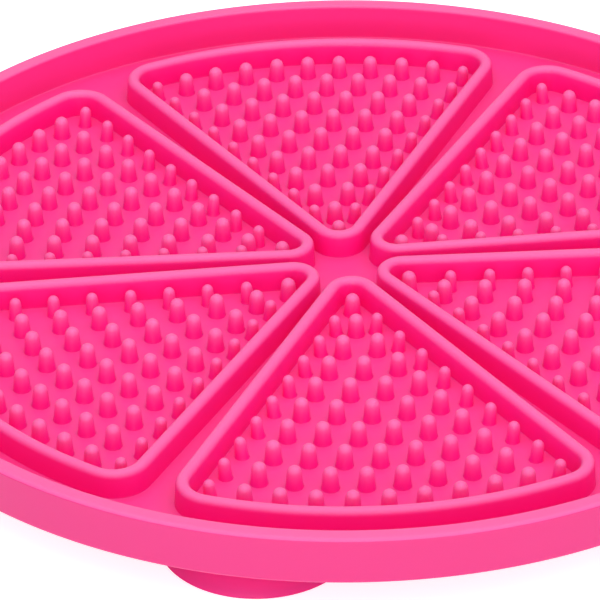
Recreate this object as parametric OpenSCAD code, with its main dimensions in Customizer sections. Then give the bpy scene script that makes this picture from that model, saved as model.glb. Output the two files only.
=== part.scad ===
// Round silicone lick mat: a shallow tray with six walled segments full of soft nubs,
// standing on four suction cups. Millimetres, +Z up, origin under the middle of the mat
// in the plane that the cups rest on.

/* [Tray] */
// Outer diameter of the mat
mat_d = 200; // [185:1:220]
// Thickness of the floor plate
plate_t = 2; // [1.8:0.1:4]
// Rounding under the plate's outer edge
plate_edge_r = 0.8; // [0.3:0.1:1.4]
// Height of the rim above the floor
rim_h = 7.6; // [5:0.1:12]
// Thickness of the rim
rim_t = 3.4; // [2.4:0.1:6]
// Rounding of the rim's outer top edge
rim_outer_r = 0.9; // [0.3:0.1:1.3]
// Rounding of the rim's inner top edge
rim_inner_r = 0.5; // [0.2:0.1:1]

/* [Segments] */
// Clear width of the moat between the rim and the segment walls
moat_w = 8.6; // [5:0.1:14]
// Height of the segment walls above the floor
wall_h = 5.1; // [3:0.1:8]
// Thickness of the segment walls
wall_t = 3; // [2.4:0.1:4]
// Rounding of both top edges of a segment wall
wall_top_r = 1.1; // [0.4:0.1:1.2]
// Angle by which each straight wall leaves the line of its channel
channel_flare = 1.72; // [0:0.1:4]
// Radius of the clear hub, up to the tips of the segments
hub_r = 7.05; // [6:0.1:14]
// Bend of the wall's middle line at the tip of a segment
tip_r = 4; // [2.6:0.1:5]
// Bend of the wall's middle line at the outer corners
corner_r = 5.8; // [3:0.1:10]

/* [Nubs] */
// Height of a nub above the floor
nub_h = 4.5; // [3:0.1:8]
// Base diameter of a full nub
nub_base_d = 3.3; // [2.6:0.1:4]
// Tip diameter of a full nub
nub_tip_d = 2.6; // [1.6:0.1:3]
// Height of the slim nubs that stand beside the straight walls
slim_h = 4.2; // [3:0.1:8]
// Base diameter of a slim nub
slim_base_d = 2.6; // [2:0.1:3.4]
// Tip diameter of a slim nub
slim_tip_d = 2.1; // [1.2:0.1:2.4]
// Distance between neighbouring nubs along a row
nub_pitch = 6.6; // [6:0.1:9]
// Distance between rows
row_pitch = 7.4; // [6:0.1:10]
// Least distance from a slim nub's axis to its neighbour's
end_pitch = 3.9; // [3.6:0.1:5]
// Gap between the first row and the curved wall
nub_arc_gap = 3.1; // [1:0.1:5]
// Gap between the slim nubs and the straight walls
nub_wall_gap = 1.5; // [0.8:0.1:3]
// Gap between the last nub and the wall at the tip
nub_tip_gap = 1.5; // [0.8:0.1:3]
// Thickness of the sheet that a field of nubs grows from
bed_t = 0.8; // [0.5:0.1:1.4]
// Seam round that sheet in its recess
bed_seam = 0.15; // [0.05:0.05:0.4]

/* [Suction cups] */
// Diameter of a cup at its lip
cup_d = 36.6; // [30:0.1:42]
// Distance from the mat's edge to the axis of a cup
cup_inset = 24.5; // [22:0.5:34]
// Angle from the first channel to the first cup
cup_turn = 72; // [0:1:89]
// Height from the lip to the underside of the plate
cup_drop = 9; // [7:0.1:14]
// Diameter of the neck
neck_d = 12; // [8:0.1:16]
// Height of the neck
neck_h = 2; // [1:0.1:3]
// Thickness of the bell under the neck
crown_t = 1.8; // [1:0.1:2.4]
// Width of the flat sealing edge, lip included
seal_w = 1.6; // [1.4:0.1:2.4]
// Width of the feathered lip round the bell
lip_w = 0.9; // [0.6:0.1:1.1]
// Seam between the bell and the lip
lip_seam = 0.1; // [0.05:0.05:0.2]

/* [Hidden] */
$fn = 96;
segment_count = 6;
cup_count = 4;

// Overrun of a cut, and the depth by which a nub is rooted in its sheet
overrun = 0.2;
// Amount by which the bends of a wall stand proud of the runs that end inside them
bend_step = 0.02;
// Straight steps that make up an edge rounding, a corner and the long arc of an outline
edge_steps = 5;
corner_steps = 12;
arc_steps = 32;
// Sides of the large circles that bound a cup's cross-section
dome_sides = 480;

mat_r = mat_d / 2;
cup_r = cup_d / 2;
neck_r = neck_d / 2;
floor_z = cup_drop + plate_t;
bell_top_z = cup_drop - neck_h;
segment_angle = 360 / segment_count;
cup_angle = 360 / cup_count;
cup_ring_r = mat_r - cup_inset;

// Middle line of a segment's wall, with the segment lying along +X from the mat's centre.
// Its two straight walls meet at apex_x, before the tip is rounded.
half_angle = segment_angle / 2 - channel_flare;
arc_r = mat_r - rim_t - moat_w - wall_t / 2;
apex_x = hub_r + wall_t / 2 - tip_r * (1 / sin(half_angle) - 1);
tip_x = apex_x + tip_r / sin(half_angle);
along = [cos(half_angle), sin(half_angle)];
inward = [sin(half_angle), -cos(half_angle)];
corner_start = [apex_x, 0] + corner_r * inward;
corner_lift = corner_start * along;
corner_run = -corner_lift + sqrt(corner_lift * corner_lift - corner_start * corner_start
    + (arc_r - corner_r) * (arc_r - corner_r));
corner_at = corner_start + corner_run * along;
corner_angle = atan2(corner_at.y, corner_at.x);
tip_run = tip_r / tan(half_angle);
tip_end = [apex_x, 0] + tip_run * along;
arc_lap = overrun / arc_r * 180 / PI;

// Rows of nubs, counted from the curved wall inwards
first_row_r = arc_r - wall_t / 2 - nub_arc_gap - nub_base_d / 2;
last_row_r = hub_r + wall_t + nub_tip_gap + nub_base_d / 2;
row_count = floor((first_row_r - last_row_r) / row_pitch) + 1;
wall_clear = wall_t / 2 + nub_wall_gap + slim_base_d / 2;

// Spherical surfaces of a cup's bell, each given by its radius and the height of its centre
outer_centre_z = (neck_r * neck_r + bell_top_z * bell_top_z - cup_r * cup_r) / (2 * bell_top_z);
outer_sphere_r = sqrt(cup_r * cup_r + outer_centre_z * outer_centre_z);
inner_top_z = bell_top_z - crown_t;
mouth_r = cup_r - seal_w;
lip_r = cup_r - lip_w;
inner_sphere_r = (mouth_r * mouth_r + inner_top_z * inner_top_z) / (2 * inner_top_z);
inner_centre_z = inner_top_z - inner_sphere_r;

function arc_points(centre, r, from, to, steps) = [
    for (i = [0 : steps])
        let (a = from + (to - from) * i / steps)
        centre + r * [cos(a), sin(a)]
];

// Outline of a segment, drawn inside the middle line of its wall by the distance inset
function segment_outline(inset) = concat(
    arc_points([tip_x, 0], tip_r - inset, 90 + half_angle, 270 - half_angle, corner_steps),
    arc_points([corner_at.x, -corner_at.y], corner_r - inset,
        -90 - half_angle, -corner_angle, corner_steps),
    arc_points([0, 0], arc_r - inset, -corner_angle, corner_angle, arc_steps),
    arc_points(corner_at, corner_r - inset, corner_angle, 90 + half_angle, corner_steps)
);

// Angle on either side of a segment's middle within which nub axes keep clear of the walls
function row_reach(r) = half_angle - asin(min(1, (wall_clear + apex_x * sin(half_angle)) / r));

// Places along a row as arc lengths from its middle. Alternate rows are staggered by half a
// pitch, and each row ends in a nub that is moved in as far as the straight walls ask.
function row_places(i) =
    let (r = first_row_r - i * row_pitch,
        reach = r * row_reach(r) * PI / 180,
        phase = (i % 2) * nub_pitch / 2,
        inner = [for (s = [phase : nub_pitch : reach - end_pitch]) s],
        last = len(inner) == 0 ? reach : min(reach, inner[len(inner) - 1] + nub_pitch))
    reach < end_pitch / 2 ? [[0, false]] : concat(
        [for (s = inner) [s, false]],
        [for (s = inner) if (s > 0) [-s, false]],
        [[last, true], [-last, true]]
    );

module profile_wall(grow) {
    half = wall_t / 2 + grow;
    top = wall_h + grow;
    polygon(concat(
        [[-half, 0], [half, 0]],
        arc_points([half - wall_top_r, top - wall_top_r], wall_top_r, 0, 90, edge_steps),
        arc_points([wall_top_r - half, top - wall_top_r], wall_top_r, 90, 180, edge_steps)
    ));
}

module wall_bend(r, from, to, grow) {
    rotate([0, 0, from]) rotate_extrude(angle = to - from) translate([r, 0]) profile_wall(grow);
}

module wall_side() {
    translate([tip_end.x, tip_end.y, 0]) rotate([90, 0, 90 + half_angle])
        translate([0, 0, -overrun]) linear_extrude(corner_run - tip_run + 2 * overrun)
        profile_wall(0);
    translate([corner_at.x, corner_at.y, 0])
        wall_bend(corner_r, corner_angle, 90 + half_angle, bend_step);
}

module place_segment(i) {
    rotate([0, 0, (i - 0.5) * segment_angle]) translate([0, 0, floor_z]) children();
}

module place_cup(i) {
    rotate([0, 0, cup_turn + (i - 1) * cup_angle]) translate([cup_ring_r, 0, 0]) children();
}

module nub(base_d, tip_d, h) {
    taper = atan((base_d - tip_d) / 2 / (h - tip_d / 2));
    rotate_extrude() polygon(concat(
        [[0, -overrun], [base_d / 2, -overrun], [base_d / 2, 0]],
        arc_points([0, h - tip_d / 2], tip_d / 2, taper, 90, edge_steps)
    ));
}

// Section between a cup's two spherical surfaces, from which the bell and the lip are cut
module profile_cup() {
    difference() {
        translate([0, outer_centre_z]) circle(outer_sphere_r, $fn = dome_sides);
        translate([0, inner_centre_z]) circle(inner_sphere_r, $fn = dome_sides);
    }
}

module base_plate() {
    color("hotpink") difference() {
        translate([0, 0, cup_drop]) rotate_extrude() polygon(concat(
            [[0, 0]],
            arc_points([mat_r - plate_edge_r, plate_edge_r], plate_edge_r, -90, 0, edge_steps),
            [[mat_r, plate_t], [0, plate_t]]
        ));
        for (i = [1 : segment_count]) place_segment(i) translate([0, 0, -bed_t])
            linear_extrude(bed_t + overrun) polygon(segment_outline(wall_t / 2));
    }
}

module rim_wall() {
    color("deeppink") translate([0, 0, floor_z]) rotate_extrude() polygon(concat(
        [[mat_r - rim_t, 0], [mat_r, 0]],
        arc_points([mat_r - rim_outer_r, rim_h - rim_outer_r], rim_outer_r, 0, 90, edge_steps),
        arc_points([mat_r - rim_t + rim_inner_r, rim_h - rim_inner_r], rim_inner_r,
            90, 180, edge_steps)
    ));
}

module segment_wall(i) {
    color("deeppink") place_segment(i) {
        wall_side();
        mirror([0, 1, 0]) wall_side();
        translate([tip_x, 0, 0]) wall_bend(tip_r, 90 + half_angle, 270 - half_angle, bend_step);
        wall_bend(arc_r, -corner_angle - arc_lap, corner_angle + arc_lap, 0);
    }
}

module nub_bed(i) {
    color("hotpink") place_segment(i) {
        translate([0, 0, -bed_t]) linear_extrude(bed_t)
            polygon(segment_outline(wall_t / 2 + bed_seam));
        for (row = [0 : row_count - 1], place = row_places(row)) {
            r = first_row_r - row * row_pitch;
            rotate([0, 0, place[0] / r * 180 / PI]) translate([r, 0, 0])
                if (place[1]) nub(slim_base_d, slim_tip_d, slim_h);
                else nub(nub_base_d, nub_tip_d, nub_h);
        }
    }
}

module cup_neck(i) {
    color("deeppink") place_cup(i) translate([0, 0, bell_top_z]) cylinder(r = neck_r, h = neck_h);
}

module cup_bell(i) {
    color("hotpink") place_cup(i) rotate_extrude() intersection() {
        profile_cup();
        square([lip_r - lip_seam, bell_top_z]);
    }
}

module cup_lip(i) {
    color("deeppink") place_cup(i) rotate_extrude() intersection() {
        profile_cup();
        translate([lip_r, 0]) square([lip_w + overrun, bell_top_z]);
    }
}

base_plate();
rim_wall();
for (i = [1 : segment_count]) {
    segment_wall(i);
    nub_bed(i);
}
for (i = [1 : cup_count]) {
    cup_neck(i);
    cup_bell(i);
    cup_lip(i);
}
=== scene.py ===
import math

import bpy
from mathutils import Matrix, Vector


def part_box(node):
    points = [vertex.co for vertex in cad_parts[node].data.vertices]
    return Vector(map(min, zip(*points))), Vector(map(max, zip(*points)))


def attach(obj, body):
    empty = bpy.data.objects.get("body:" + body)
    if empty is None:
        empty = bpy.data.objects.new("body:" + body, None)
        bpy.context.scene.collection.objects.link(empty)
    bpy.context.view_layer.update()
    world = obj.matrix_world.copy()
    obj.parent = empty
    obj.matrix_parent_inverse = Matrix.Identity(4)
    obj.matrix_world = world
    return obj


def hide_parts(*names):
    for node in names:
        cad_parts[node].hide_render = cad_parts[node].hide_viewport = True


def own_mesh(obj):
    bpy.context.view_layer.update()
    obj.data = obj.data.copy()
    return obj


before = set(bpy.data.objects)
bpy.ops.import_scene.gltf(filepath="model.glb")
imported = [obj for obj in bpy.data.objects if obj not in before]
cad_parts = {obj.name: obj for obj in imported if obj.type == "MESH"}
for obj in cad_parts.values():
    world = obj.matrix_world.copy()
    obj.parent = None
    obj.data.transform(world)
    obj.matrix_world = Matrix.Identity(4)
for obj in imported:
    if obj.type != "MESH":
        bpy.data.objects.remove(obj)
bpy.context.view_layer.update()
print("frame loaded:", len(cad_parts), "nodes")

mm = 0.001
weld = 0.002 * mm  # points closer than this become one
sharpDeg = 30  # an edge that bends more than this is shaded as a crease

# Sizes that the frame gives, in metres
plateLow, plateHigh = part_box("base_plate")
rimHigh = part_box("rim_wall")[1]
underZ = plateLow.z
floorZ = plateHigh.z
matR = rimHigh.x
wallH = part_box("segment_wall_1")[1].z - floorZ
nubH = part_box("nub_bed_1")[1].z - floorZ


# Small tools for node trees

def addNode(tree, kind, inputs=None, **settings):
    node = tree.nodes.new(kind)
    for name, value in settings.items():
        setattr(node, name, value)
    for key, value in (inputs or {}).items():
        if isinstance(value, bpy.types.NodeSocket):
            tree.links.new(value, node.inputs[key])
        else:
            node.inputs[key].default_value = value
    return node


def calc(tree, operation, a, b=0.0):
    return addNode(tree, "ShaderNodeMath", {0: a, 1: b}, operation=operation).outputs[0]


def plus(tree, *values):
    total = values[0]
    for value in values[1:]:
        total = calc(tree, "ADD", total, value)
    return total


def less(tree, a, b):
    return calc(tree, "SUBTRACT", a, b)


def startTree(name, sizes):
    # sizes holds each input's name and value; a whole number makes a whole-number input
    tree = bpy.data.node_groups.new(name, "GeometryNodeTree")
    tree.is_modifier = True
    for inOut in ("INPUT", "OUTPUT"):
        tree.interface.new_socket(name="Geometry", in_out=inOut, socket_type="NodeSocketGeometry")
    for label, value in sizes.items():
        kind = "NodeSocketInt" if isinstance(value, int) else "NodeSocketFloat"
        tree.interface.new_socket(name=label, in_out="INPUT", socket_type=kind)
    return tree, tree.nodes.new("NodeGroupInput").outputs


def endTree(tree, geometry, material):
    real = addNode(tree, "GeometryNodeRealizeInstances", {0: geometry})
    smooth = addNode(tree, "GeometryNodeSetShadeSmooth", {0: real.outputs[0]})
    finish = addNode(tree, "GeometryNodeSetMaterial", {0: smooth.outputs[0], "Material": material})
    tree.links.new(finish.outputs[0], tree.nodes.new("NodeGroupOutput").inputs[0])
    return tree


def pickByIndex(tree, kind, index, values):
    switch = addNode(tree, "GeometryNodeIndexSwitch", data_type=kind)
    for i in range(2, len(values)):
        switch.index_switch_items.new()
    tree.links.new(index, switch.inputs[0])
    for i, value in enumerate(values):
        if isinstance(value, bpy.types.NodeSocket):
            tree.links.new(value, switch.inputs[i + 1])
        else:
            switch.inputs[i + 1].default_value = value
    return switch.outputs[0]


def roundedSection(tree, corners, closed, axisR=0.0):
    # Each corner is (distance from the axis or middle line, height, rounding, steps of the rounding).
    # A sweep lays a section's x outwards and its y downwards.
    line = addNode(tree, "GeometryNodeCurvePrimitiveLine")
    points = addNode(tree, "GeometryNodeResampleCurve", {0: line.outputs[0], "Count": len(corners)})
    index = tree.nodes.new("GeometryNodeInputIndex").outputs[0]
    places = [addNode(tree, "ShaderNodeCombineXYZ",
                      {0: less(tree, x, axisR), 1: less(tree, 0.0, z)}).outputs[0]
              for x, z, rounding, steps in corners]
    placed = addNode(tree, "GeometryNodeSetPosition",
                     {0: points.outputs[0], "Position": pickByIndex(tree, "VECTOR", index, places)})
    ring = addNode(tree, "GeometryNodeSetSplineCyclic", {0: placed.outputs[0], "Cyclic": closed})
    return addNode(tree, "GeometryNodeFilletCurve", {
        0: ring.outputs[0],
        "Count": pickByIndex(tree, "INT", index, [c[3] for c in corners]),
        "Radius": pickByIndex(tree, "FLOAT", index, [c[2] for c in corners]),
        "Limit Radius": True}, mode="POLY").outputs[0]


def spin(tree, section, sides, axisR):
    circle = addNode(tree, "GeometryNodeCurvePrimitiveCircle", {"Resolution": sides, "Radius": axisR})
    turned = addNode(tree, "GeometryNodeCurveToMesh", {0: circle.outputs[0], 1: section})
    return addNode(tree, "GeometryNodeMergeByDistance",
                   {0: turned.outputs[0], "Distance": weld}).outputs[0]


# Small tools for meshes

def polyline(name, points, closed):
    mesh = bpy.data.meshes.new(name)
    joins = [(i, i + 1) for i in range(len(points) - 1)]
    if closed:
        joins.append((len(points) - 1, 0))
    mesh.from_pydata([Vector(p).to_3d() for p in points], joins, [])
    return mesh


def scatter(name, points, marks, turns):
    # Loose points, each with a true or false mark and a turn about x, y and z
    mesh = bpy.data.meshes.new(name)
    mesh.from_pydata([Vector(p).to_3d() for p in points], [], [])
    mesh.attributes.new("slim", "BOOLEAN", "POINT").data.foreach_set("value", marks)
    mesh.attributes.new("lean", "FLOAT_VECTOR", "POINT").data.foreach_set(
        "vector", [value for turn in turns for value in turn])
    return mesh


def volumeOf(mesh):
    mesh.calc_loop_triangles()
    at = [v.co for v in mesh.vertices]
    return sum(at[t.vertices[0]].dot(at[t.vertices[1]].cross(at[t.vertices[2]]))
               for t in mesh.loop_triangles) / 6


def grow(name, start, tree, sizes, place=Matrix.Identity(4), creaseDeg=sharpDeg):
    # Runs a tree on the start mesh and returns a plain piece with its place in its mesh
    seed = bpy.data.objects.new(name + "Seed", start)
    bpy.context.scene.collection.objects.link(seed)
    modifier = seed.modifiers.new("grow", "NODES")
    modifier.node_group = tree
    for socket in tree.interface.items_tree:
        if socket.in_out == "INPUT" and socket.name in sizes:
            modifier[socket.identifier] = sizes[socket.name]
    graph = bpy.context.evaluated_depsgraph_get()
    mesh = bpy.data.meshes.new_from_object(seed.evaluated_get(graph), depsgraph=graph)
    seed.modifiers.clear()
    bpy.data.objects.remove(seed)
    mesh.transform(place)
    if volumeOf(mesh) < 0:
        mesh.flip_normals()
    mesh.set_sharp_from_angle(angle=math.radians(creaseDeg))
    mesh.name = name
    piece = bpy.data.objects.new(name, mesh)
    bpy.context.scene.collection.objects.link(piece)
    return piece


def arc(centre, radius, startDeg, endDeg, steps):
    turns = [math.radians(startDeg + (endDeg - startDeg) * i / steps) for i in range(steps + 1)]
    return [Vector((centre[0] + radius * math.cos(t), centre[1] + radius * math.sin(t))) for t in turns]


def straight(start, end, steps):
    return [start.lerp(end, i / steps) for i in range(1, steps)]


# Silicone

siliconeLooks = {
    "side pink": (0.965, 0.034, 0.300),
    "painted light pink": (0.985, 0.125, 0.390),  # painted light: tops and what faces up get this paler pink, as if lit from above
    "outer shade pink": (0.770, 0.026, 0.222),  # painted shade: the rim's outer wall is duller than the rest, against the light that falls on it from the front
    "outer shade depth": 0.1 * mm,  # how far in from the outer wall that painted shade goes
    "floor share": 0.15,  # of the way to the painted light pink, on the floor
    "paling": 1.0,  # how late the painted light pales the pink on its way up
    "pale from": 0.92,  # share of the height above which it is palest
    "upward only": 1.0,  # 1 keeps the painted light to what faces up
    "deeper": (0.985, 0.85, 0.93),  # share of each colour left where the pigment is a little deeper
    "cloud size": 34 * mm,
    "cloud detail": 2.0,
    "cloud roughness": 0.35,
    "roughness": (0.40, 0.48),
    "grain size": 0.22 * mm,  # fine grain left by the mould
    "grain detail": 3.0,
    "grain roughness": 0.6,
    "grain depth": 0.004 * mm,
    "grain strength": 0.35,
    "IOR": 1.5,
    "glow": 0.2,  # light that passes under the skin
    "glow reach": (2.4 * mm, 0.5 * mm, 0.8 * mm),  # of red, green and blue
}
# Nubs: a deeper pink at their feet as painted shade, paling to painted light at their tips
nubLooks = dict(siliconeLooks, **{
    "side pink": (0.980, 0.002, 0.280),
    "painted light pink": (0.985, 0.130, 0.410),
    "floor share": 0.0,
    "paling": 2.3,
    "pale from": 0.88,
    "upward only": 0.0,
})
# Walls: the same painted shade low down and painted light on their tops, mostly where they face up
wallLooks = dict(nubLooks, **{
    "side pink": (0.985, 0.002, 0.275),
    "paling": 2.5,
    "upward only": 0.92,
})
cupLitLooks = dict(siliconeLooks, **{
    # painted light: a lighter pink than the mat's, against the shade that falls on the cups under the rim
    "side pink": (0.995, 0.048, 0.330),
    "floor share": 0.0,
    "roughness": (0.34, 0.42),  # a little glossier than the mat
})


def siliconeMaterial(name, looks, height):
    # height is that of the forms on the floor, over which the painted light pales the pink
    material = bpy.data.materials.new(name)
    material.use_nodes = True
    tree = material.node_tree
    shader = tree.nodes["Principled BSDF"]
    place = addNode(tree, "ShaderNodeTexCoord").outputs["Object"]
    clouds = addNode(tree, "ShaderNodeTexNoise", {
        "Vector": place, "Scale": 1 / looks["cloud size"],
        "Detail": looks["cloud detail"], "Roughness": looks["cloud roughness"]})
    grain = addNode(tree, "ShaderNodeTexNoise", {
        "Vector": place, "Scale": 1 / looks["grain size"],
        "Detail": looks["grain detail"], "Roughness": looks["grain roughness"]})
    x, y, z = addNode(tree, "ShaderNodeSeparateXYZ", {0: place}).outputs
    # Painted shade: a duller pink on the rim's outer wall
    outward = calc(tree, "SQRT", plus(tree, calc(tree, "MULTIPLY", x, x), calc(tree, "MULTIPLY", y, y)))
    outerShadeMask = calc(tree, "GREATER_THAN", outward, matR - looks["outer shade depth"])
    # Painted light: the pink pales with height and towards what faces up, and stays deeper low down as
    # painted shade
    risen = addNode(tree, "ShaderNodeMapRange", {
        0: z, 1: floorZ, 2: floorZ + height * looks["pale from"]}).outputs[0]
    share = addNode(tree, "ShaderNodeMapRange", {
        0: calc(tree, "POWER", risen, looks["paling"]), 3: looks["floor share"]}).outputs[0]
    facing = tree.nodes.new("ShaderNodeNewGeometry").outputs["Normal"]
    upward = addNode(tree, "ShaderNodeMapRange", {
        0: addNode(tree, "ShaderNodeSeparateXYZ", {0: facing}).outputs["Z"], 3: 1 - looks["upward only"]})
    pink = addNode(tree, "ShaderNodeMix", {
        0: calc(tree, "MULTIPLY", share, upward.outputs[0]), 6: (*looks["side pink"], 1),
        7: (*looks["painted light pink"], 1)}, data_type="RGBA").outputs[2]
    pink = addNode(tree, "ShaderNodeMix", {
        0: outerShadeMask, 6: pink, 7: (*looks["outer shade pink"], 1)}, data_type="RGBA").outputs[2]
    tint = addNode(tree, "ShaderNodeMix", {
        0: clouds.outputs[0], 6: pink, 7: (*looks["deeper"], 1)}, data_type="RGBA", blend_type="MULTIPLY")
    smoothest, roughest = looks["roughness"]
    spread = addNode(tree, "ShaderNodeMapRange", {0: grain.outputs[0], 3: smoothest, 4: roughest})
    bump = addNode(tree, "ShaderNodeBump", {
        "Height": grain.outputs[0], "Distance": looks["grain depth"], "Strength": looks["grain strength"]})
    for key, socket in (("Base Color", tint.outputs[2]), ("Roughness", spread.outputs[0]),
                        ("Normal", bump.outputs[0])):
        tree.links.new(socket, shader.inputs[key])
    shader.inputs["IOR"].default_value = looks["IOR"]
    shader.inputs["Subsurface Weight"].default_value = looks["glow"]
    shader.inputs["Subsurface Radius"].default_value = looks["glow reach"]
    shader.inputs["Subsurface Scale"].default_value = 1.0
    return material


rimH = rimHigh.z - floorZ
matSilicone = siliconeMaterial("matSilicone", siliconeLooks, rimH)
wallSilicone = siliconeMaterial("wallSilicone", wallLooks, wallH)
nubSilicone = siliconeMaterial("nubSilicone", nubLooks, nubH)
cupLitSilicone = siliconeMaterial("cupLitSilicone", cupLitLooks, rimH)
print("materials made")


# Tray: floor plate and rim, turned in one piece

tray = {
    "Radius": matR,
    "Underside": underZ,
    "Floor": floorZ,
    "Rim top": rimHigh.z,
    "Rim width": 3.4 * mm,
    "Foot rounding": 0.8 * mm,
    "Outer rounding": 1.25 * mm,  # ends in a crisp line above the outer wall
    "Outer rounding angle": math.radians(56),
    "Inner rounding": 0.55 * mm,
    "Floor fillet": 0.3 * mm,
    "Guard": 0.35 * mm,  # keeps the shading of a rounding off the flat beside it
    "Rounding steps": 6,
    "Sides": 288,
}


def trayTree(sizes, material):
    tree, given = startTree("trayTurned", sizes)
    r, guard, top, floor = given["Radius"], given["Guard"], given["Rim top"], given["Floor"]
    inside = less(tree, r, given["Rim width"])
    edgeR, edgeAngle = given["Outer rounding"], given["Outer rounding angle"]
    edgeWidth = calc(tree, "MULTIPLY", edgeR, calc(tree, "SINE", edgeAngle))
    edgeDrop = less(tree, edgeR, calc(tree, "MULTIPLY", edgeR, calc(tree, "COSINE", edgeAngle)))
    edgeRun = calc(tree, "MULTIPLY", edgeR, calc(tree, "TANGENT", calc(tree, "MULTIPLY", edgeAngle, 0.5)))
    edgeX = plus(tree, less(tree, r, edgeWidth), edgeRun)
    crispZ = less(tree, top, edgeDrop)
    foot, low = given["Foot rounding"], given["Underside"]
    innerR, fillet = given["Inner rounding"], given["Floor fillet"]
    steps = given["Rounding steps"]
    corners = [
        (0.0, low, 0.0, 0),
        (less(tree, r, plus(tree, foot, guard)), low, 0.0, 0),
        (r, low, foot, steps),
        (r, plus(tree, low, foot, guard), 0.0, 0),
        (r, crispZ, 0.0, 0),
        (edgeX, top, edgeR, steps),
        (less(tree, r, plus(tree, edgeWidth, guard)), top, 0.0, 0),
        (plus(tree, inside, innerR, guard), top, 0.0, 0),
        (inside, top, innerR, steps),
        (inside, less(tree, top, plus(tree, innerR, guard)), 0.0, 0),
        (inside, plus(tree, floor, fillet, guard), 0.0, 0),
        (inside, floor, fillet, steps),
        (less(tree, inside, plus(tree, fillet, guard)), floor, 0.0, 0),
        (0.0, floor, 0.0, 0),
    ]
    section = roundedSection(tree, corners, False, r)
    return endTree(tree, spin(tree, section, given["Sides"], r), material)


trayPiece = grow("tray", polyline("trayStart", [(0, 0)], False), trayTree(tray, matSilicone), tray)
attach(trayPiece, "mat")
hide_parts("base_plate", "rim_wall")
print("tray:", len(trayPiece.data.polygons), "faces")


# Segments: the outline that a wall's middle line follows, and the wall swept along it

segment = {
    "count": 6,
    "hub": 7.05 * mm,  # from the middle of the mat to a wall's tip
    "moat": 8.6 * mm,  # from the rim to a wall
    "flareDeg": 1.72,  # how far a straight side turns away, so that a channel widens outwards
    "tip bend": 4.0 * mm,  # radius of the wall's middle line there
    "corner bend": 5.8 * mm,
    "bend steps": 14,
    "arc steps": 44,
    "side steps": 24,
}
wall = {
    "Width": 3.0 * mm,
    "Top width": 2.45 * mm,
    "Height": wallH,
    "Top rounding": 1.15 * mm,
    "Top steps": 7,
    "Foot fillet": 0.1 * mm,
    "Foot steps": 4,
    "Root": 0.4 * mm,  # how far it goes down into the floor
    "Sink": 0.015 * mm,  # the fillet starts a hair under the floor, so the two never flicker
    "Guard": 0.25 * mm,
}

stepDeg = 360 / segment["count"]
halfDeg = stepDeg / 2 - segment["flareDeg"]
halfAngle = math.radians(halfDeg)
arcR = matR - tray["Rim width"] - segment["moat"] - wall["Width"] / 2
apexX = segment["hub"] + wall["Width"] / 2 - segment["tip bend"] * (1 / math.sin(halfAngle) - 1)


def segmentOutline():
    along = Vector((math.cos(halfAngle), math.sin(halfAngle)))
    inward = Vector((math.sin(halfAngle), -math.cos(halfAngle)))
    start = Vector((apexX, 0)) + segment["corner bend"] * inward
    lift = start.dot(along)
    reach = arcR - segment["corner bend"]
    corner = start + (math.sqrt(lift * lift - start.dot(start) + reach * reach) - lift) * along
    cornerDeg = math.degrees(math.atan2(corner.y, corner.x))
    mirrored = Vector((corner.x, -corner.y))
    tip = Vector((apexX + segment["tip bend"] / math.sin(halfAngle), 0))
    bend = segment["bend steps"]
    tipArc = arc(tip, segment["tip bend"], 90 + halfDeg, 270 - halfDeg, bend)
    lowCorner = arc(mirrored, segment["corner bend"], -90 - halfDeg, -cornerDeg, bend)
    longArc = arc((0, 0), arcR, -cornerDeg, cornerDeg, segment["arc steps"])
    highCorner = arc(corner, segment["corner bend"], cornerDeg, 90 + halfDeg, bend)
    return (tipArc + straight(tipArc[-1], lowCorner[0], segment["side steps"])
            + lowCorner + longArc[1:-1] + highCorner
            + straight(highCorner[-1], tipArc[0], segment["side steps"]))


def wallTree(sizes, material):
    tree, given = startTree("segmentWallSwept", sizes)
    half, halfTop = (calc(tree, "MULTIPLY", given[label], 0.5) for label in ("Width", "Top width"))
    top, rounding, foot = given["Height"], given["Top rounding"], given["Foot fillet"]
    low, guard = less(tree, 0.0, given["Sink"]), given["Guard"]
    wide = plus(tree, half, foot)

    def flank(z):
        # Half the wall's width at height z
        slope = calc(tree, "DIVIDE", less(tree, half, halfTop), top)
        return less(tree, half, calc(tree, "MULTIPLY", slope, z))

    aboveFoot = plus(tree, foot, guard)
    belowTop = less(tree, top, plus(tree, rounding, guard))
    side = [
        (wide, less(tree, low, given["Root"]), 0.0, 0),
        (wide, low, 0.0, 0),
        (half, low, foot, given["Foot steps"]),
        (flank(aboveFoot), aboveFoot, 0.0, 0),
        (flank(belowTop), belowTop, 0.0, 0),
        (halfTop, top, rounding, given["Top steps"]),
    ]
    other = [(less(tree, 0.0, x), z, r, steps) for x, z, r, steps in reversed(side)]
    section = roundedSection(tree, side + other, True)
    path = addNode(tree, "GeometryNodeMeshToCurve", {0: given["Geometry"]})
    swept = addNode(tree, "GeometryNodeCurveToMesh", {0: path.outputs[0], 1: section})
    return endTree(tree, swept.outputs[0], material)


def segmentPlace(i):
    return Matrix.Translation((0, 0, floorZ)) @ Matrix.Rotation(math.radians((i - 0.5) * stepDeg), 4, "Z")


outline = segmentOutline()
sweptWall = wallTree(wall, wallSilicone)
for i in range(1, segment["count"] + 1):
    piece = grow(f"segmentWall{i}", polyline("wallPath", outline, True), sweptWall, wall, segmentPlace(i))
    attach(piece, "mat")
    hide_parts(f"segment_wall_{i}")
print("segment walls:", len(piece.data.polygons), "faces each")


# Nubs: rows that run parallel to the curved wall, staggered, with a slim nub at each end

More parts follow.
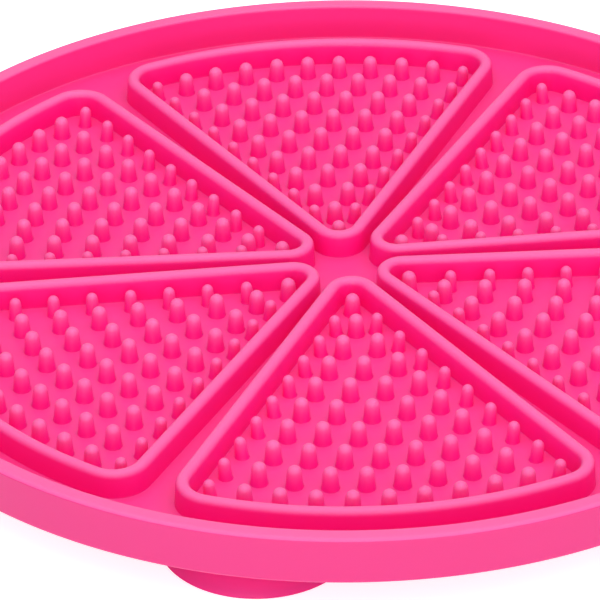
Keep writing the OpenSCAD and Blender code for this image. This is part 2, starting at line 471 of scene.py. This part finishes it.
nub = {
    "Full height": nubH,
    "Full base": 3.35 * mm,  # across, as the tips are
    "Full tip": 2.8 * mm,
    "Slim height": nubH - 0.3 * mm,
    "Slim base": 2.6 * mm,
    "Slim tip": 2.25 * mm,
    "Foot flare": 0.25 * mm,
    "Root": 0.2 * mm,  # how far it goes down into the floor
    "Lean": math.radians(1.0),  # soft nubs never stand quite alike
    "Size spread": 0.012,  # the most that a nub is smaller, as a share
    "Dome steps": 3,
    "Sides": 12,
    "Seed": 7,
}
rows = {
    "pitch": 6.6 * mm,
    "row pitch": 7.4 * mm,
    "end pitch": 3.9 * mm,  # the least, between a slim nub and the next one
    "arc gap": 3.1 * mm,  # from the curved wall to the first row
    "wall gap": 1.5 * mm,  # from a straight wall to a slim nub
    "tip gap": 1.5 * mm,  # the least, from the wall's tip to the last row
    "slim lean": math.radians(5),  # towards the wall beside it
    "slim step": 0.2 * mm,  # a slim nub's foot stands this much further from that wall
    "crease deg": 80,  # so that a nub's cone and dome shade as one
}


def rowPlaces(i):
    # Arc lengths from the segment's middle, each with True for a slim nub
    r = firstRowR - i * rows["row pitch"]
    clear = wall["Width"] / 2 + rows["wall gap"] + nub["Slim base"] / 2
    reach = r * (halfAngle - math.asin(min(1, (clear + apexX * math.sin(halfAngle)) / r)))
    if reach < rows["end pitch"] / 2:
        return r, [(0, False)]
    phase = (i % 2) * rows["pitch"] / 2
    innerCount = math.floor((reach - rows["end pitch"] - phase) / rows["pitch"]) + 1
    inner = [phase + k * rows["pitch"] for k in range(innerCount)]
    last = min(reach, inner[-1] + rows["pitch"]) if inner else reach
    return r, ([(s, False) for s in inner] + [(-s, False) for s in inner if s > 0]
               + [(last, True), (-last, True)])


firstRowR = arcR - wall["Width"] / 2 - rows["arc gap"] - nub["Full base"] / 2
lastRowR = segment["hub"] + wall["Width"] + rows["tip gap"] + nub["Full base"] / 2
rowCount = math.floor((firstRowR - lastRowR) / rows["row pitch"]) + 1
nubPoints, slimOnes, nubLeans = [], [], []
for i in range(rowCount):
    r, places = rowPlaces(i)
    for s, slim in places:
        if slim:
            s -= math.copysign(rows["slim step"], s)
        nubPoints.append((r * math.cos(s / r), r * math.sin(s / r)))
        slimOnes.append(slim)
        tilt = math.copysign(rows["slim lean"], -s) if slim else 0.0
        nubLeans.append((tilt * math.cos(s / r), tilt * math.sin(s / r), 0.0))


def turnedNub(tree, given, kind):
    height, base, tip = (given[f"{kind} {part}"] for part in ("height", "base", "tip"))
    baseR, tipR = calc(tree, "MULTIPLY", base, 0.5), calc(tree, "MULTIPLY", tip, 0.5)
    flare = given["Foot flare"]
    coneRun = less(tree, height, tipR)
    taper = calc(tree, "ARCTANGENT", calc(tree, "DIVIDE", less(tree, baseR, tipR), coneRun))
    shoulder = calc(tree, "MULTIPLY", tipR, calc(tree, "TANGENT", less(
        tree, math.radians(45), calc(tree, "MULTIPLY", taper, 0.5))))
    corners = [
        (plus(tree, baseR, flare), less(tree, 0.0, given["Root"]), 0.0, 0),
        (baseR, flare, 0.0, 0),
        (shoulder, height, tipR, given["Dome steps"]),
        (0.0, height, 0.0, 0),
    ]
    return spin(tree, roundedSection(tree, corners, False, baseR), given["Sides"], baseR)


def nubTree(sizes, material):
    tree, given = startTree("nubField", sizes)
    isSlim = addNode(tree, "GeometryNodeInputNamedAttribute", {0: "slim"}, data_type="BOOLEAN").outputs[0]
    isFull = addNode(tree, "FunctionNodeBooleanMath", {0: isSlim}, operation="NOT").outputs[0]
    wander = given["Lean"]
    most = addNode(tree, "ShaderNodeCombineXYZ", {0: wander, 1: wander, 2: math.pi}).outputs[0]
    least = addNode(tree, "ShaderNodeVectorMath", {0: most, "Scale": -1.0}, operation="SCALE").outputs[0]
    turns = addNode(tree, "FunctionNodeRandomValue", {0: least, 1: most, "Seed": given["Seed"]},
                    data_type="FLOAT_VECTOR").outputs[0]
    size = addNode(tree, "FunctionNodeRandomValue", {
        2: less(tree, 1.0, given["Size spread"]), 3: 1.0, "Seed": plus(tree, given["Seed"], 1.0)},
        data_type="FLOAT").outputs[1]
    lean = addNode(tree, "GeometryNodeInputNamedAttribute", {0: "lean"},
                   data_type="FLOAT_VECTOR").outputs[0]
    angles = addNode(tree, "FunctionNodeRotateRotation", {
        "Rotation": addNode(tree, "FunctionNodeEulerToRotation", {0: turns}).outputs[0],
        "Rotate By": addNode(tree, "FunctionNodeEulerToRotation", {0: lean}).outputs[0]},
        rotation_space="GLOBAL").outputs[0]
    both = addNode(tree, "GeometryNodeJoinGeometry")
    for kind, chosen in (("Full", isFull), ("Slim", isSlim)):
        stands = addNode(tree, "GeometryNodeInstanceOnPoints", {
            "Points": given["Geometry"], "Selection": chosen,
            "Instance": turnedNub(tree, given, kind), "Rotation": angles, "Scale": size})
        tree.links.new(stands.outputs[0], both.inputs[0])
    return endTree(tree, both.outputs[0], material)


grownNubs = nubTree(nub, nubSilicone)
for i in range(1, segment["count"] + 1):
    sizes = dict(nub, Seed=nub["Seed"] + i)
    piece = grow(f"nubField{i}", scatter("nubPlaces", nubPoints, slimOnes, nubLeans), grownNubs, sizes,
                 segmentPlace(i), creaseDeg=rows["crease deg"])
    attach(piece, "mat")
    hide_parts(f"nub_bed_{i}")
print("nubs:", len(nubPoints), "in each segment,", len(piece.data.polygons), "faces")


# Suction cups: neck, bell and lip, turned about each cup's axis

lipLow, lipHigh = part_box("cup_lip_1")
neckLow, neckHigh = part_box("cup_neck_1")
cup = {
    "count": 4,
    "radius": (lipHigh.x - lipLow.x) / 2,
    "bell top": neckLow.z,
    "neck radius": (neckHigh.x - neckLow.x) / 2,
    "crown": 1.8 * mm,  # thickness of the bell at its middle
    "seal": 1.6 * mm,  # width of the edge that meets the table
    "lip": 0.9 * mm,  # width of the lip, the outer part of that edge
    "feather": 0.12 * mm,  # rounding of the lip's outermost edge
    "feather deg": 40,  # where that rounding starts, above the level
    "neck flare": 1.5 * mm,  # how much wider the neck's ends are
    "embedded": 0.3 * mm,  # how far they go into the plate and the bell
    "dome steps": 22,
    "lip steps": 6,
    "feather steps": 4,
    "flare steps": 6,
    "travel": 4.0 * mm,  # how far a cup can be pressed
}
turned = {
    "Sides": 96,
    "Axis radius": 1.0 * mm,  # of the circle that carries a section round its axis
}


def turnedTree(sizes, material):
    tree, given = startTree("cupTurned", sizes)
    section = addNode(tree, "GeometryNodeMeshToCurve", {0: given["Geometry"]})
    moved = addNode(tree, "GeometryNodeTransform", {
        0: section.outputs[0],
        "Translation": addNode(tree, "ShaderNodeCombineXYZ",
                               {0: less(tree, 0.0, given["Axis radius"])}).outputs[0]})
    return endTree(tree, spin(tree, moved.outputs[0], given["Sides"], given["Axis radius"]), material)


def sphereHeight(r, top, edgeR):
    # Height at r of the sphere that passes through (neck radius or axis, top) and (edgeR, 0)
    centre = (top[0] ** 2 + top[1] ** 2 - edgeR ** 2) / (2 * top[1])
    return centre + math.sqrt(edgeR ** 2 + centre ** 2 - r ** 2)


outerTop = (cup["neck radius"], cup["bell top"])
innerTop = (0.0, cup["bell top"] - cup["crown"])
mouthR = cup["radius"] - cup["seal"]
lipR = cup["radius"] - cup["lip"]


def domeLine(fromR, toR, top, edgeR, steps):
    radii = [fromR + (toR - fromR) * i / steps for i in range(steps + 1)]
    return [(r, sphereHeight(r, top, edgeR)) for r in radii]


def bellSection():
    steps = cup["dome steps"]
    above = domeLine(cup["neck radius"], lipR, outerTop, cup["radius"], steps)
    below = domeLine(mouthR, 0.0, innerTop, mouthR, steps)
    return [(0.0, cup["bell top"])] + above + [(lipR, 0.0)] + below


def lipSection():
    soft = cup["feather"]
    above = domeLine(lipR, cup["radius"] - soft, outerTop, cup["radius"], cup["lip steps"])
    edge = arc((cup["radius"] - soft, soft), soft, cup["feather deg"], -90, cup["feather steps"])
    return above + [tuple(p) for p in edge if p[1] < above[-1][1]] + [(lipR, 0.0)]


def neckSection():
    flare, r = cup["neck flare"], cup["neck radius"]
    low = sphereHeight(r + flare, outerTop, cup["radius"])
    waist = (low + underZ) / 2
    bend = waist - low
    steps = cup["flare steps"]
    lower = [(r + flare - flare * math.sin(t), waist - bend * math.cos(t))
             for t in (math.radians(90 * k / steps) for k in range(steps + 1))]
    upper = [(x, 2 * waist - z) for x, z in reversed(lower[:-1])]
    return ([(0.0, low - cup["embedded"]), (r + flare, low - cup["embedded"])] + lower + upper
            + [(r + flare, underZ + cup["embedded"]), (0.0, underZ + cup["embedded"])])


def cupPiece(name, section, closed, centre, body, node):
    # A sweep lays a section's y downwards, so heights are turned over here
    points = [(r, -z) for r, z in section]
    piece = grow(name, polyline("cupSection", points, closed), turnedCup, turned,
                 Matrix.Translation((centre.x, centre.y, 0)))
    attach(piece, body)
    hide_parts(node)
    return piece


turnedCup = turnedTree(turned, cupLitSilicone)
for i in range(1, cup["count"] + 1):
    low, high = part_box(f"cup_neck_{i}")
    centre = (low + high) / 2
    cupPiece(f"cupNeck{i}", neckSection(), False, centre, "mat", f"cup_neck_{i}")
    bell = cupPiece(f"cupBell{i}", bellSection(), False, centre, "mat", f"cup_bell_{i}")
    lip = cupPiece(f"cupLip{i}", lipSection(), True, centre, f"lip_{i}", f"cup_lip_{i}")
    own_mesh(bell)
    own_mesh(lip)
print("cups:", cup["count"])


# Floor, light and camera

stage = {
    "size": 6.0,
    "colour": (0.86, 0.86, 0.87),
    "roughness": 0.6,
    "gloss": 0.0,
    "lift": 0.75,  # added for rays that see the floor as a background
}


def raysThatSee(tree):
    # 1 for the rays of the camera, of gloss and of glass, 0 for the light on the object
    rays = addNode(tree, "ShaderNodeLightPath").outputs
    return calc(tree, "MAXIMUM", calc(tree, "MAXIMUM", rays["Is Camera Ray"], rays["Is Glossy Ray"]),
                rays["Is Transmission Ray"])


def stageMaterial():
    material = bpy.data.materials.new("paleFloor")
    material.use_nodes = True
    tree = material.node_tree
    shader = tree.nodes["Principled BSDF"]
    shader.inputs["Base Color"].default_value = (*stage["colour"], 1)
    shader.inputs["Roughness"].default_value = stage["roughness"]
    shader.inputs["Specular IOR Level"].default_value = stage["gloss"]
    shader.inputs["Emission Color"].default_value = (1, 1, 1, 1)
    lift = calc(tree, "MULTIPLY", raysThatSee(tree), stage["lift"])
    tree.links.new(lift, shader.inputs["Emission Strength"])
    return material


reach = stage["size"] / 2
floorMesh = bpy.data.meshes.new("paleFloor")
floorMesh.from_pydata([(-reach, -reach, 0), (reach, -reach, 0), (reach, reach, 0), (-reach, reach, 0)],
                      [], [(0, 1, 2, 3)])
floorMesh.materials.append(stageMaterial())
floorPiece = bpy.data.objects.new("paleFloor", floorMesh)
bpy.context.scene.collection.objects.link(floorPiece)

light = {
    "horizon": 0.65,  # soft white surroundings, from the table up to the first of the two heights
    "upper sky": 0.50,  # and above the second
    "seen horizon": 1.0,  # what the camera and gloss see of them
    "seen upper sky": 0.40,
    "sky heights": (math.sin(math.radians(8)), math.sin(math.radians(30))),
    "overhead watts": 12.0,
    "overhead size": 2.0,
    "overhead place": (0.08, -0.15, 1.2),  # in metres
    "front watts": 4.5,
    "front size": 1.6,
    "front place": (0.08, -1.10, 0.36),
    "low watts": 1.0,
    "low size": 0.4,
    "low place": (-0.15, -0.70, 0.06),
}
world = bpy.data.worlds.new("softWhite")
world.use_nodes = True
bpy.context.scene.world = world
skyTree = world.node_tree
background = skyTree.nodes["Background"]
background.inputs["Color"].default_value = (1, 1, 1, 1)
upward = addNode(skyTree, "ShaderNodeSeparateXYZ", {
    0: addNode(skyTree, "ShaderNodeTexCoord").outputs["Generated"]}).outputs["Z"]
levels = [addNode(skyTree, "ShaderNodeMapRange", {
    0: upward, 1: light["sky heights"][0], 2: light["sky heights"][1],
    3: light[f"{kind}horizon"], 4: light[f"{kind}upper sky"]}).outputs[0] for kind in ("", "seen ")]
skyStrength = addNode(skyTree, "ShaderNodeMapRange", {0: raysThatSee(skyTree), 3: levels[0], 4: levels[1]})
skyTree.links.new(skyStrength.outputs[0], background.inputs["Strength"])


def softLamp(name):
    lamp = bpy.data.lights.new(name, "AREA")
    lamp.energy = light[f"{name} watts"]
    lamp.shape = "DISK"
    lamp.size = light[f"{name} size"]
    piece = bpy.data.objects.new(name, lamp)
    bpy.context.scene.collection.objects.link(piece)
    place = Vector(light[f"{name} place"])
    aim = (place - Vector((0, 0, floorZ))).to_track_quat("Z", "Y")
    piece.matrix_world = Matrix.Translation(place) @ aim.to_matrix().to_4x4()


softLamp("overhead")
softLamp("front")
softLamp("low")

view = {
    "place": Vector((-72.25, -744.97, 478.98)) * mm,
    "turnDeg": -4.855,
    "downDeg": 32.312,
    "rollDeg": -0.608,
    "lens": 270.06,
    "sensor": 36,
    "nearest": 0.01,  # in metres, what lies closer isn't drawn
}
camera = bpy.data.cameras.new("photoView")
camera.lens = view["lens"]
camera.sensor_width = view["sensor"]
camera.clip_start = view["nearest"]
cameraPiece = bpy.data.objects.new("photoView", camera)
bpy.context.scene.collection.objects.link(cameraPiece)
cameraPiece.matrix_world = (Matrix.Translation(view["place"])
                            @ Matrix.Rotation(math.radians(view["turnDeg"]), 4, "Z")
                            @ Matrix.Rotation(math.radians(90 - view["downDeg"]), 4, "X")
                            @ Matrix.Rotation(math.radians(view["rollDeg"]), 4, "Z"))
bpy.context.scene.camera = cameraPiece
bpy.context.scene.view_settings.view_transform = "Standard"

print("scene ready")
